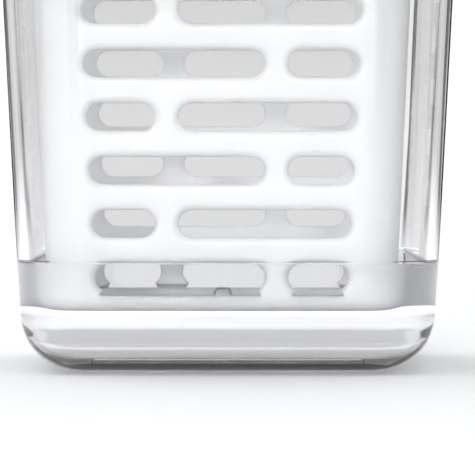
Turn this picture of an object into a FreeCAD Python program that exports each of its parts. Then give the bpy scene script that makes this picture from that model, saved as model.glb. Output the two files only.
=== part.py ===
"""Herb keeper: a clear tapered container, a slotted basket in two hinged halves, and a lid with a seal.

Millimetres, +Z up. The origin is the middle of the container's underside and the front faces -Y.
"""

import FreeCAD
import Part

import math
import os

import Sketcher

Vector = FreeCAD.Vector
FULL_TURN = 360.0
HALF_TURN = 180.0
TOLERANCE = 0.01

# Driving sizes, in millimetres and degrees. A width is measured across the flats of a rounded square.
SIZES = {
    # container, its width and corner those at the level of its underside
    "container_base_width": 86.0,
    "container_height": 240.0,
    "container_draft": 3.05,
    "container_wall": 2.2,
    "container_floor": 5.0,
    "container_corner": 14.0,
    "container_edge_radius": 13.0,
    "rim_bead_depth": 1.2,
    "rim_bead_height": 3.0,
    "fill_line_level": 23.3,
    "fill_line_height": 0.6,
    "fill_line_depth": 0.1,
    "foot_ring_width": 1.5,
    "foot_recess": 0.6,
    "gate_radius": 1.5,
    "gate_height": 0.4,
    # basket, its corner the one that its taper would give at the same level
    "basket_bottom": 13.2,
    "basket_draft": 2.7,
    "basket_wall": 1.8,
    "basket_floor": 2.0,
    "basket_corner": 7.0,
    "basket_edge_radius": 3.5,
    "basket_shift": -1.2,
    "basket_rim_thickness": 2.0,
    "basket_rim_inset": 0.2,
    "half_gap": 0.2,
    # slots in the basket's walls
    "slot_height": 5.7,
    "slot_pitch": 11.13,
    "slot_first_level": 20.35,
    "slot_corner_margin": 10.7,
    "slot_field_draft": 3.1,
    "slot_bridge_width": 4.8,
    "slot_bridge_offset": 11.4,
    "slot_rim_margin": 12.0,
    "side_slot_first_level": 25.9,
    "side_slot_corner_margin": 11.0,
    "side_slot_seam_margin": 3.5,
    "side_slot_reach": 8.0,
    "side_slot_bridge_width": 4.8,
    "drain_slot_width": 4.0,
    "drain_slot_length": 18.0,
    "drain_slot_pitch": 14.0,
    "drain_slot_inset": 8.0,
    # hinge and catches of the basket's halves, with the flanges that the catches hold together
    "flange_depth": 2.8,
    "flange_thickness": 1.4,
    "flange_margin": 3.0,
    "knuckle_radius": 1.8,
    "knuckle_height": 5.0,
    "knuckle_gap": 0.3,
    "pin_radius": 0.9,
    "pin_clearance": 0.1,
    "hinge_clearance": 0.47,
    "catch_height": 10.0,
    "catch_thickness": 1.2,
    "catch_clearance": 0.3,
    "catch_lip": 0.9,
    "tongue_width": 4.7,
    "tongue_top_width": 3.0,
    "tongue_height": 2.4,
    "tongue_reach": 5.0,
    "tongue_clearance": 0.2,
    # lid
    "lid_height": 12.0,
    "lid_wall": 2.2,
    "lid_edge_radius": 4.0,
    "grip_length": 62.0,
    "grip_width": 16.0,
    "grip_height": 5.0,
    "grip_edge_radius": 2.2,
    "liner_thickness": 2.0,
    "liner_gap": 0.2,
    "plug_depth": 14.0,
    "plug_wall": 1.6,
    "plug_gap": 2.4,
    "seal_height": 4.0,
    "seal_drop": 4.0,
    "seal_groove": 0.8,
    "seal_gap": 0.3,
}

# The rows of side slots, counted from the lowest, that hinge stations and catches are level with. In these rows
# no slot crosses the seam.
HINGE_ROWS = (6, 10, 14)
CATCH_ROWS = (6, 14)
DRAIN_SLOTS = 3

document = FreeCAD.newDocument("herb_keeper")
sheet = document.addObject("Spreadsheet::Sheet", "sizes")
for row, (alias, size) in enumerate(SIZES.items(), start=1):
    sheet.set(f"A{row}", alias)
    sheet.set(f"B{row}", str(size))
    sheet.setAlias(f"B{row}", alias)
document.recompute()


# ---------------------------------------------------------------- expressions


def size(alias):
    """The expression that names a cell of the sheet."""
    return f"sizes.{alias}"


def value(expression):
    """What an expression comes to with the sheet's sizes."""
    return float(sheet.evalExpression(str(expression)))


def container_half(level):
    """Half the container's outer width at a level."""
    return f"({size('container_base_width')} / 2 + ({level}) * tan({size('container_draft')}))"


def container_corner(level):
    """The container's outer corner radius in plan at a level, which grows with its draft."""
    return f"({size('container_corner')} + ({level}) * tan({size('container_draft')}))"


def side_row_level(row):
    """The middle of a row of side slots."""
    return f"({size('side_slot_first_level')} + {row} * {size('slot_pitch')})"


def knuckle_levels(row, place):
    """Where a knuckle starts and ends in height: place -1 is the lower, 0 the middle and 1 the upper one."""
    pitch = f"({size('knuckle_height')} + {size('knuckle_gap')})"
    middle = f"({side_row_level(row)} + {place} * {pitch})"
    half = f"{size('knuckle_height')} / 2"
    return f"({middle} - {half})", f"({middle} + {half})"


def basket_half(level):
    """Half the basket's outer width at a level: as wide as lets the lowest knuckle clear the container."""
    lowest = knuckle_levels(HINGE_ROWS[0], -1)[0]
    hinge = f"({size('half_gap')} + 2 * {size('knuckle_radius')} + {size('hinge_clearance')})"
    inside = f"({container_half(lowest)} - {size('container_wall')} - abs({size('basket_shift')}))"
    return f"({inside} - {hinge} + (({level}) - {lowest}) * tan({size('basket_draft')}))"


def basket_corner(level):
    """The basket's outer corner radius in plan at a level, which grows with its draft."""
    return f"({size('basket_corner')} + ({level}) * tan({size('basket_draft')}))"


def slot_field_half(level):
    """Half the width that the slots of a main wall take up at a level."""
    base = f"{basket_half('0')} - {size('slot_corner_margin')}"
    return f"({base} + ({level}) * tan({size('slot_field_draft')}))"


RIM_LEVEL = size("container_height")
RIM_HALF = f"({container_half(RIM_LEVEL)} + {size('rim_bead_depth')})"
RIM_CORNER = f"({container_corner(RIM_LEVEL)} + {size('rim_bead_depth')})"
BASKET_TOP = f"({RIM_LEVEL} + {size('basket_rim_thickness')})"
BASKET_FLOOR_TOP = f"({size('basket_bottom')} + {size('basket_floor')})"
BASKET_RIM_HALF = f"({RIM_HALF} - {size('basket_rim_inset')} + {size('basket_shift')})"
SEAM_EDGE = f"({size('half_gap')} / 2)"


# ------------------------------------------------------------ sketch helpers


def new_body(label):
    body = document.addObject("PartDesign::Body", label)
    body.Label = label
    return body


def origin_plane(body, role):
    return next(feature for feature in body.Origin.OriginFeatures if feature.Role == role)


def new_sketch(body, name, role, offset="0"):
    """A sketch on one of the body's origin planes, moved along the plane's normal."""
    sketch = body.newObject("Sketcher::SketchObject", name)
    sketch.AttachmentSupport = [(origin_plane(body, role), "")]
    sketch.MapMode = "FlatFace"
    sketch.setExpression("AttachmentOffset.Base.z", offset)
    return sketch


def bind(sketch, kind, *places, to, name):
    """Adds a driving dimension and binds it to an expression."""
    index = sketch.addConstraint(Sketcher.Constraint(kind, *places, value(to)))
    sketch.renameConstraint(index, name)
    sketch.setExpression(f"Constraints.{name}", to)


def add_rounded_square(sketch, half, radius, prefix):
    """A square with rounded corners about the sketch's origin."""
    h = value(half)
    r = value(radius)
    first = sketch.GeometryCount
    corners = [(1, 1), (-1, 1), (-1, -1), (1, -1)]
    quarter = math.pi / 2
    for turn, (sx, sy) in enumerate(corners):
        centre = Vector(sx * (h - r), sy * (h - r), 0)
        circle = Part.Circle(centre, Vector(0, 0, 1), r)
        sketch.addGeometry(Part.ArcOfCircle(circle, turn * quarter, (turn + 1) * quarter), False)
    for turn, (sx, sy) in enumerate(corners):
        nx, ny = corners[(turn + 1) % 4]
        if sy == ny:
            ends = Vector(sx * (h - r), sy * h, 0), Vector(nx * (h - r), ny * h, 0)
        else:
            ends = Vector(sx * h, sy * (h - r), 0), Vector(nx * h, ny * (h - r), 0)
        sketch.addGeometry(Part.LineSegment(*ends), False)
    constraints = []
    for turn in range(4):
        arc = first + turn
        line = first + 4 + turn
        following = first + (turn + 1) % 4
        constraints.append(Sketcher.Constraint("Tangent", arc, 2, line, 1))
        constraints.append(Sketcher.Constraint("Tangent", line, 2, following, 1))
    constraints.append(Sketcher.Constraint("Horizontal", first + 4))
    constraints.append(Sketcher.Constraint("Vertical", first + 5))
    constraints.append(Sketcher.Constraint("Horizontal", first + 6))
    constraints.append(Sketcher.Constraint("Vertical", first + 7))
    for turn in range(1, 4):
        constraints.append(Sketcher.Constraint("Equal", first, first + turn))
    sketch.addConstraint(constraints)
    bind(sketch, "DistanceY", -1, 1, first + 4, 1, to=half, name=f"{prefix}_back")
    bind(sketch, "DistanceX", first + 5, 1, -1, 1, to=half, name=f"{prefix}_left")
    bind(sketch, "DistanceY", first + 6, 1, -1, 1, to=half, name=f"{prefix}_front")
    bind(sketch, "DistanceX", -1, 1, first + 7, 1, to=half, name=f"{prefix}_right")
    bind(sketch, "Radius", first, to=radius, name=f"{prefix}_radius")


def rounded_square(body, name, level, half, radius):
    sketch = new_sketch(body, name, "XY_Plane", level)
    add_rounded_square(sketch, half, radius, "outer")
    return sketch


def rounded_ring(body, name, level, half, radius, width):
    """Two rounded squares, the inner one a width inside the outer."""
    sketch = rounded_square(body, name, level, half, radius)
    add_rounded_square(sketch, f"({half} - ({width}))", f"({radius} - ({width}))", "inner")
    return sketch


def polygons(body, name, role, offset, outlines):
    """Closed polygons whose corners are pairs of expressions."""
    sketch = new_sketch(body, name, role, offset)
    for outline in outlines:
        first = sketch.GeometryCount
        points = [Vector(value(x), value(y), 0) for x, y in outline]
        following = points[1:] + points[:1]
        sketch.addGeometry([Part.LineSegment(*ends) for ends in zip(points, following)], False)
        count = len(points)
        links = [(first + i, first + (i + 1) % count) for i in range(count)]
        sketch.addConstraint([Sketcher.Constraint("Coincident", a, 2, b, 1) for a, b in links])
        for index, (x, y) in enumerate(outline, start=first):
            bind(sketch, "DistanceX", -1, 1, index, 1, to=x, name=f"across_{index}")
            bind(sketch, "DistanceY", -1, 1, index, 1, to=y, name=f"up_{index}")
    return sketch


def rectangle(left, right, low, high):
    """The corners of a rectangle from expressions."""
    return [(left, low), (right, low), (right, high), (left, high)]


def circle(body, name, level, radius):
    sketch = new_sketch(body, name, "XY_Plane", level)
    sketch.addGeometry(Part.Circle(Vector(), Vector(0, 0, 1), value(radius)), False)
    sketch.addConstraint(Sketcher.Constraint("Coincident", 0, 3, -1, 1))
    bind(sketch, "Radius", 0, to=radius, name="radius")
    return sketch


def slot_outline(start, end, level, radius, upright=False):
    """The four edges of a slot with round ends, from end centre to end centre."""
    along = Vector(0, 1, 0) if upright else Vector(1, 0, 0)
    across = Vector(-1, 0, 0) if upright else Vector(0, 1, 0)
    first_angle = math.pi if upright else math.pi / 2
    low = along * start + across * level
    high = along * end + across * level
    low_circle = Part.Circle(low, Vector(0, 0, 1), radius)
    high_circle = Part.Circle(high, Vector(0, 0, 1), radius)
    return [
        Part.ArcOfCircle(low_circle, first_angle, first_angle + math.pi),
        Part.LineSegment(low - across * radius, high - across * radius),
        Part.ArcOfCircle(high_circle, first_angle - math.pi, first_angle),
        Part.LineSegment(high + across * radius, low + across * radius),
    ]


# ----------------------------------------------------------- feature helpers


def pad(body, sketch, length, draft=None):
    """A pad along the sketch's normal, widening with a draft where one is given."""
    feature = body.newObject("PartDesign::Pad", f"{sketch.Name}_pad")
    feature.Refine = False
    feature.Profile = sketch
    feature.setExpression("Length", length)
    if draft:
        feature.setExpression("TaperAngle", draft)
    return feature


def pocket(body, sketch, length, reversed_=False, both_ways=False, draft=None):
    """A pocket against the sketch's normal, or along it when reversed."""
    feature = body.newObject("PartDesign::Pocket", f"{sketch.Name}_pocket")
    feature.Refine = False
    feature.Profile = sketch
    feature.Reversed = reversed_
    if both_ways:
        feature.SideType = "Symmetric"
    feature.setExpression("Length", length)
    if draft:
        feature.setExpression("TaperAngle", draft)
    return feature


def edges_at(feature, level):
    """Names of the edges that lie flat at a level."""
    document.recompute()
    height = value(level)
    names = []
    for index, edge in enumerate(feature.Shape.Edges, start=1):
        box = edge.BoundBox
        if abs(box.ZMin - height) < TOLERANCE and abs(box.ZMax - height) < TOLERANCE:
            names.append(f"Edge{index}")
    return names


def fillet(body, feature, edges, radius):
    rounded = body.newObject("PartDesign::Fillet", f"{feature.Name}_round")
    rounded.Base = (feature, edges)
    rounded.setExpression("Radius", radius)
    return rounded


# ----------------------------------------------------------------- container


def make_container():
    body = new_body("container")
    wall = size("container_wall")
    floor_level = size("container_floor")
    base = rounded_square(body, "base_outline", "0", container_half("0"), container_corner("0"))
    pad(body, base, RIM_LEVEL, draft=size("container_draft"))
    bead_level = f"({RIM_LEVEL} - {size('rim_bead_height')})"
    bead = rounded_square(body, "rim_bead", bead_level, RIM_HALF, RIM_CORNER)
    pad(body, bead, size("rim_bead_height"))
    inner_base = rounded_square(
        body,
        "inner_floor_outline",
        floor_level,
        f"({container_half(floor_level)} - {wall})",
        f"({container_corner(floor_level)} - {wall})",
    )
    depth = f"({RIM_LEVEL} - {floor_level} + {size('rim_bead_height')})"
    hollow = pocket(body, inner_base, depth, reversed_=True, draft=size("container_draft"))
    inner_radius = f"({size('container_edge_radius')} - {wall})"
    inside = fillet(body, hollow, edges_at(hollow, floor_level), inner_radius)
    fillet(body, inside, edges_at(inside, "0"), size("container_edge_radius"))
    fill_line = rounded_ring(
        body,
        "fill_line",
        size("fill_line_level"),
        f"({container_half(size('fill_line_level'))} - {wall} / 2)",
        f"({container_corner(size('fill_line_level'))} - {wall} / 2)",
        f"({wall} / 2 + {size('fill_line_depth')})",
    )
    pad(body, fill_line, size("fill_line_height"))
    recess_inset = f"({size('container_edge_radius')} + {size('foot_ring_width')})"
    recess = rounded_square(
        body,
        "foot_recess",
        "0",
        f"({container_half('0')} - {recess_inset})",
        size("foot_ring_width"),
    )
    pocket(body, recess, size("foot_recess"), reversed_=True)
    gate_level = f"({size('foot_recess')} - {size('gate_height')})"
    gate = circle(body, "gate_mark", gate_level, size("gate_radius"))
    pad(body, gate, f"({size('gate_height')} * 2)")
    return body


# -------------------------------------------------------------------- basket


def leaning(side, reach, levels):
    """The outline of a rib that leans with a side wall of the basket.

    reach is how far its two faces stand out from the wall, and levels where it starts and ends in height.
    """
    low, high = levels
    near, far = reach
    outline = [(near, low), (far, low), (far, high), (near, high)]
    return [(f"({side} * ({basket_half(level)} + {out}))", level) for out, level in outline]


def add_ribs(body, name, outlines, depths):
    """Ribs with outlines in the seam plane, from one depth to another in Y."""
    near, far = depths
    sketch = polygons(body, name, "XZ_Plane", f"(-({far}))", outlines)
    return pad(body, sketch, f"(({far}) - ({near}))")


def catch_spans(margin="0"):
    """Where each catch starts and ends in height, with a margin above and below."""
    half = f"({size('catch_height')} / 2 + {margin})"
    levels = [side_row_level(row) for row in CATCH_ROWS]
    return [(f"({level} - {half})", f"({level} + {half})") for level in levels]


def hinge_section(side, radius, levels):
    """Half the lengthwise section of a round solid on the hinge's axis, which leans with the side wall."""
    axis_out = f"({size('knuckle_radius')} + {size('half_gap')})"
    drop = f"({radius} * tan({size('basket_draft')}))"
    low, high = levels
    axis_low = f"({side} * ({basket_half(low)} + {axis_out}))"
    axis_high = f"({side} * ({basket_half(high)} + {axis_out}))"
    return [
        (axis_low, low),
        (f"({axis_low} + {side} * {radius})", f"({low} - {drop})"),
        (f"({axis_high} + {side} * {radius})", f"({high} - {drop})"),
        (axis_high, high),
    ]


def turn_on_hinge(body, name, outlines, kind):
    """Solids or cuts turned about the hinge's axis, the last edge of the first outline."""
    sketch = polygons(body, name, "XZ_Plane", "0", outlines)
    feature = body.newObject(f"PartDesign::{kind}", f"{name}_turn")
    feature.Refine = False
    feature.Profile = sketch
    feature.ReferenceAxis = (sketch, ["Edge4"])
    feature.Angle = FULL_TURN
    return feature


def make_basket_half(label, hinge_side, carries_pins):
    """One half of the basket, in front of the seam plane. The rear half is turned about the basket's axis."""
    body = new_body(label)
    bottom = size("basket_bottom")
    wall = size("basket_wall")
    base = rounded_square(body, f"{label}_base", bottom, basket_half(bottom), basket_corner(bottom))
    pad(body, base, f"({BASKET_TOP} - {bottom})", draft=size("basket_draft"))
    rim = rounded_square(body, f"{label}_rim", RIM_LEVEL, BASKET_RIM_HALF, RIM_CORNER)
    pad(body, rim, size("basket_rim_thickness"))
    inner_base = rounded_square(
        body,
        f"{label}_inner_base",
        BASKET_FLOOR_TOP,
        f"({basket_half(BASKET_FLOOR_TOP)} - {wall})",
        f"({basket_corner(BASKET_FLOOR_TOP)} - {wall})",
    )
    depth = f"({BASKET_TOP} - {BASKET_FLOOR_TOP} + {size('basket_rim_thickness')})"
    hollow = pocket(body, inner_base, depth, reversed_=True, draft=size("basket_draft"))
    inner_radius = f"({size('basket_edge_radius')} - {wall})"
    inside = fillet(body, hollow, edges_at(hollow, BASKET_FLOOR_TOP), inner_radius)
    fillet(body, inside, edges_at(inside, bottom), size("basket_edge_radius"))
    cut_other_half(body, label)
    add_flanges(body, label, side=-hinge_side)
    add_hinge(body, label, hinge_side, carries_pins)
    return body


def cut_slots(body, label, facing):
    cut_wall_slots(body, label)
    cut_side_slots(body, label, facing)
    cut_drain_slots(body, label)


def cut_other_half(body, label):
    reach = f"({RIM_HALF} + {size('container_wall')})"
    outline = rectangle(f"(-{reach})", reach, f"(-{SEAM_EDGE})", reach)
    sketch = polygons(body, f"{label}_other_half", "XY_Plane", "0", [outline])
    pocket(body, sketch, f"({BASKET_TOP} + {size('basket_rim_thickness')})", reversed_=True)


def slot_levels(first):
    """The middle of each row of slots from the first one up."""
    levels = []
    level = value(first)
    highest = value(f"({RIM_LEVEL} - {size('slot_rim_margin')} - {size('slot_height')} / 2)")
    while level <= highest:
        levels.append(level)
        level += value(size("slot_pitch"))
    return levels


def cut_wall_slots(body, label):
    """Two slots to a row in the main wall. The bridge between them changes sides from row to row."""
    sketch = new_sketch(body, f"{label}_wall_slots", "XZ_Plane")
    radius = value(size("slot_height")) / 2
    half_bridge = value(size("slot_bridge_width")) / 2
    offset = value(size("slot_bridge_offset"))
    edges = []
    for row, level in enumerate(slot_levels(size("slot_first_level"))):
        end = value(slot_field_half(level)) - radius
        bridge = offset if row % 2 == 0 else -offset
        edges += slot_outline(-end, bridge - half_bridge - radius, level, radius)
        edges += slot_outline(bridge + half_bridge + radius, end, level, radius)
    sketch.addGeometry(edges, False)
    pocket(body, sketch, basket_half(BASKET_TOP), reversed_=True)


def cut_side_slots(body, label, facing):
    """Two slots to a row in each side wall, half a pitch above the main walls' rows.

    In every other row the rear slot crosses the seam and reaches into the front half. facing is 1 for the front
    half and -1 for the rear one, which is made the other way round.
    """
    sketch = new_sketch(body, f"{label}_side_slots", "YZ_Plane")
    radius = value(size("slot_height")) / 2
    seam_margin = value(size("side_slot_seam_margin"))
    reach = value(size("side_slot_reach"))
    bridge = value(size("side_slot_bridge_width"))
    edges = []
    for row, level in enumerate(slot_levels(size("side_slot_first_level"))):
        corner = value(f"({basket_half(level)} - {size('side_slot_corner_margin')})")
        rear_start = -reach if row % 2 else seam_margin
        for start, end in ((-corner, -reach - bridge), (rear_start, corner)):
            ends = sorted((facing * start, facing * end))
            edges += slot_outline(ends[0] + radius, ends[1] - radius, level, radius)
    sketch.addGeometry(edges, False)
    pocket(body, sketch, f"(2 * {RIM_HALF})", both_ways=True)


def cut_drain_slots(body, label):
    """Slots through the half floor, from front to back."""
    sketch = new_sketch(body, f"{label}_drain_slots", "XY_Plane")
    radius = value(size("drain_slot_width")) / 2
    seam_end = value(f"(-{size('drain_slot_inset')})") - radius
    edges = []
    for index in range(DRAIN_SLOTS):
        x = (index - (DRAIN_SLOTS - 1) / 2) * value(size("drain_slot_pitch"))
        start = seam_end - value(size("drain_slot_length")) + 2 * radius
        edges += slot_outline(start, seam_end, -x, radius, upright=True)
    sketch.addGeometry(edges, False)
    pocket(body, sketch, BASKET_FLOOR_TOP, reversed_=True)


def add_flanges(body, label, side):
    """The short flanges that the catches hold together."""
    reach = f"(-{size('basket_wall')} / 2)", size("flange_depth")
    depths = f"(-{SEAM_EDGE} - {size('flange_thickness')})", f"(-{SEAM_EDGE})"
    outlines = [leaning(side, reach, span) for span in catch_spans(size("flange_margin"))]
    add_ribs(body, f"{label}_flanges", outlines, depths)


def add_hinge(body, label, hinge_side, carries_pins):
    """Knuckles with their webs. The half with the pins has the middle knuckles, the other half the rest."""
    web_reach = f"(-{size('basket_wall')} / 2)", size("knuckle_radius")
    web_depths = f"(-{size('knuckle_radius')})", f"(-{SEAM_EDGE})"
    places = [0] if carries_pins else [-1, 1]
    spans = [knuckle_levels(row, place) for row in HINGE_ROWS for place in places]
    webs = [leaning(hinge_side, web_reach, span) for span in spans]
    add_ribs(body, f"{label}_hinge_webs", webs, web_depths)
    knuckles = [hinge_section(hinge_side, size("knuckle_radius"), span) for span in spans]
    turn_on_hinge(body, f"{label}_knuckles", knuckles, "Revolution")
    if carries_pins:
        lengths = [(knuckle_levels(row, -1)[0], knuckle_levels(row, 1)[1]) for row in HINGE_ROWS]
        pins = [hinge_section(hinge_side, size("pin_radius"), length) for length in lengths]
        turn_on_hinge(body, f"{label}_pins", pins, "Revolution")
    else:
        bore = f"({size('pin_radius')} + {size('pin_clearance')})"
        gap = size("knuckle_gap")
        through = [(f"({low} - {gap})", f"({high} + {gap})") for low, high in spans]
        bores = [hinge_section(hinge_side, bore, span) for span in through]
        turn_on_hinge(body, f"{label}_bores", bores, "Groove")


def add_catches(body, label, catch_side):
    """Hooks that reach round the other half's flange."""
    out = f"({size('flange_depth')} + {size('catch_clearance')})"
    outer = f"({out} + {size('catch_thickness')})"
    inner = f"({size('flange_depth')} - {size('catch_lip')})"
    root = f"({size('flange_depth')} / 2)"
    front = f"(-{SEAM_EDGE} - {size('flange_thickness')})"
    behind = f"({SEAM_EDGE} + {size('flange_thickness')} + {size('catch_clearance')})"
    far = f"({behind} + {size('catch_thickness')})"
    pieces = {
        "root": ((root, outer), (front, f"(-{SEAM_EDGE})")),
        "strap": ((out, outer), (front, far)),
        "lip": ((inner, outer), (behind, far)),
    }
    for name, (reach, depths) in pieces.items():
        outlines = [leaning(catch_side, reach, span) for span in catch_spans()]
        add_ribs(body, f"{label}_catch_{name}", outlines, depths)


def add_tongue(body, label):
    """The tongue that stands on this half's floor and reaches over the other half's floor."""
    base = f"({size('tongue_width')} / 2)"
    top = f"({size('tongue_top_width')} / 2)"
    top_level = f"({BASKET_FLOOR_TOP} + {size('tongue_height')})"
    raised = f"({BASKET_FLOOR_TOP} + {size('tongue_clearance')})"
    root_level = f"({BASKET_FLOOR_TOP} - {size('basket_floor')} / 2)"
    back = f"(-{size('tongue_reach')})"
    pieces = {
        "root": (root_level, (back, f"(-{SEAM_EDGE})")),
        "reach": (raised, (back, size("tongue_reach"))),
    }
    for name, (low, depths) in pieces.items():
        outline = [(f"(-{base})", low), (base, low), (top, top_level), (f"(-{top})", top_level)]
        add_ribs(body, f"{label}_tongue_{name}", [outline], depths)


def make_basket_front():
    body = make_basket_half("basket_front", hinge_side=-1, carries_pins=False)
    add_catches(body, "basket_front", catch_side=1)
    add_tongue(body, "basket_front")
    cut_slots(body, "basket_front", facing=1)
    body.setExpression("Placement.Base.x", size("basket_shift"))
    return body


def make_basket_rear():
    body = make_basket_half("basket_rear", hinge_side=1, carries_pins=True)
    cut_slots(body, "basket_rear", facing=-1)
    body.Placement = FreeCAD.Placement(Vector(), FreeCAD.Rotation(Vector(0, 0, 1), HALF_TURN))
    body.setExpression("Placement.Base.x", size("basket_shift"))
    return body


# ----------------------------------------------------------------------- lid


LID_TOP = f"({BASKET_TOP} + {size('lid_height')})"
LID_HOLLOW_HALF = f"({RIM_HALF} - {size('lid_wall')})"
LID_HOLLOW_CORNER = f"({RIM_CORNER} - {size('lid_wall')})"
MOUTH_PLAY = f"abs({size('basket_shift')})"


def mouth_half(level):
    """Half the basket's inner width at a level, less the basket's shift, about the container's axis."""
    return f"({basket_half(level)} - {size('basket_wall')} - {MOUTH_PLAY})"


def mouth_corner(level):
    return f"({basket_corner(level)} - {size('basket_wall')})"


PLUG_BOTTOM = f"({BASKET_TOP} - {size('plug_depth')})"
PLUG_HALF = f"({mouth_half(PLUG_BOTTOM)} - {size('plug_gap')})"
SEAL_TOP = f"({BASKET_TOP} - {size('seal_drop')})"
SEAL_BOTTOM = f"({SEAL_TOP} - {size('seal_height')})"
GROOVE_HALF = f"({PLUG_HALF} - {size('seal_groove')})"
GROOVE_CORNER = f"({mouth_corner(PLUG_BOTTOM)} - {size('seal_groove')})"


def make_lid_cap():
    body = new_body("lid_cap")
    outline = rounded_square(body, "cap_outline", BASKET_TOP, RIM_HALF, RIM_CORNER)
    cap = pad(body, outline, size("lid_height"))
    fillet(body, cap, edges_at(cap, LID_TOP), size("lid_edge_radius"))
    hollow = rounded_square(body, "cap_hollow", BASKET_TOP, LID_HOLLOW_HALF, LID_HOLLOW_CORNER)
    pocket(body, hollow, f"({size('lid_height')} - {size('lid_wall')})", reversed_=True)
    half_length = f"({size('grip_length')} / 2)"
    half_width = f"({size('grip_width')} / 2)"
    outline = rectangle(f"(-{half_length})", half_length, f"(-{half_width})", half_width)
    grip_level = f"({LID_TOP} - {size('lid_wall')} / 2)"
    grip = polygons(body, "cap_grip", "XY_Plane", grip_level, [outline])
    grip_pad = pad(body, grip, f"({size('grip_height')} + {size('lid_wall')} / 2)")
    grip_top = f"({LID_TOP} + {size('grip_height')})"
    fillet(body, grip_pad, edges_at(grip_pad, grip_top), size("grip_edge_radius"))
    return body


def make_lid_liner():
    body = new_body("lid_liner")
    plate_half = f"({LID_HOLLOW_HALF} - {size('liner_gap')})"
    plate_corner = f"({LID_HOLLOW_CORNER} - {size('liner_gap')})"
    plate = rounded_square(body, "liner_plate", BASKET_TOP, plate_half, plate_corner)
    pad(body, plate, size("liner_thickness"))
    plug = rounded_ring(
        body, "liner_plug", PLUG_BOTTOM, PLUG_HALF, mouth_corner(PLUG_BOTTOM), size("plug_wall")
    )
    pad(body, plug, f"({size('plug_depth')} + {size('liner_thickness')} / 2)")
    groove = rounded_ring(
        body,
        "liner_groove",
        SEAL_BOTTOM,
        f"({PLUG_HALF} + {size('plug_gap')})",
        f"({mouth_corner(PLUG_BOTTOM)} + {size('plug_gap')})",
        f"({size('plug_gap')} + {size('seal_groove')})",
    )
    pocket(body, groove, size("seal_height"), reversed_=True)
    return body


def make_lid_seal():
    body = new_body("lid_seal")
    seal_half = f"({mouth_half(SEAL_BOTTOM)} - {size('seal_gap')})"
    width = f"({seal_half} - {GROOVE_HALF})"
    seal = rounded_ring(
        body, "seal_outline", SEAL_BOTTOM, seal_half, f"({GROOVE_CORNER} + {width})", width
    )
    pad(body, seal, size("seal_height"))
    return body


# --------------------------------------------------------------------- write


def check(bodies):
    """Stops if a feature failed or a body has no sound shape."""
    for thing in document.Objects:
        if "Invalid" in thing.State or "Error" in thing.State:
            raise RuntimeError(f"{thing.Name} failed: {thing.State}")
    for body in bodies:
        shape = body.Shape
        if shape.isNull() or not shape.isValid() or len(shape.Solids) != 1:
            raise RuntimeError(f"{body.Label} is not one sound solid")


def main():
    bodies = [
        make_container(),
        make_basket_front(),
        make_basket_rear(),
        make_lid_cap(),
        make_lid_liner(),
        make_lid_seal(),
    ]
    for body in bodies:
        body.Tip.Refine = True
    document.recompute()
    check(bodies)
    os.makedirs("parts", exist_ok=True)
    for body in bodies:
        body.Shape.exportStep(f"parts/{body.Label}.step")
        print(body.Label, round(body.Shape.Volume), "mm3")


main()
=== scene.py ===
"""Looks of the herb keeper: clear container, slotted basket in two halves, lid, and the water it stands with.

Lengths are in millimetres until a mesh is made, which is in metres. The front faces -Y.
"""

import math

import bmesh
import bpy
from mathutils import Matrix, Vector
from mathutils.geometry import delaunay_2d_cdt


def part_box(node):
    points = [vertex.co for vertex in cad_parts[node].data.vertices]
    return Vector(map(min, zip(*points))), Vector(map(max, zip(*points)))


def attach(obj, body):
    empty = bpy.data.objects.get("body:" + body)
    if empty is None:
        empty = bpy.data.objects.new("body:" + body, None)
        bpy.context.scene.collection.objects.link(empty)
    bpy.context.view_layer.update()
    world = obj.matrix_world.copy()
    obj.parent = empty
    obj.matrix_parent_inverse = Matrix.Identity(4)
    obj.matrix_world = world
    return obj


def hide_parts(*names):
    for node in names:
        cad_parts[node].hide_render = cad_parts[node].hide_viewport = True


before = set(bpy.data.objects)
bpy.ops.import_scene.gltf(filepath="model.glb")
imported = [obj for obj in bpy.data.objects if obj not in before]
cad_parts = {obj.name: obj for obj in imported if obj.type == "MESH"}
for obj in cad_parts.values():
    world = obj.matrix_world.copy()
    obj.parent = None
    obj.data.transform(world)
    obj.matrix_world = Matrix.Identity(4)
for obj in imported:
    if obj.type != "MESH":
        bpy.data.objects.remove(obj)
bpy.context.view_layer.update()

MM = 0.001
QUARTER = math.pi / 2

# ---------------------------------------------------------------- sizes

container_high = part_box("container")[1] / MM
basket_low, basket_high = (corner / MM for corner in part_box("basket_front"))
cap_low, cap_high = (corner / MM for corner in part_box("lid_cap"))

RIM_LEVEL = container_high.z
RIM_HALF = container_high.x
BEAD_DEPTH = 1.2
BEAD_HEIGHT = 3.0
CONTAINER_DRAFT = 3.05
CONTAINER_SLOPE = math.tan(math.radians(CONTAINER_DRAFT))
CONTAINER_BASE_HALF = RIM_HALF - BEAD_DEPTH - RIM_LEVEL * CONTAINER_SLOPE
CONTAINER_CORNER = 14.0
CONTAINER_FLAT = CONTAINER_BASE_HALF - CONTAINER_CORNER
CONTAINER_WALL = 2.2
CONTAINER_FLOOR = 5.0
CONTAINER_EDGE = 13.0
FOOT_RING = 1.5
FOOT_RECESS = 0.6
GATE_RADIUS = 1.5
GATE_HEIGHT = 0.4
FILL_LEVEL = 23.3
FILL_HEIGHT = 0.6
FILL_DEPTH = 0.1

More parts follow.
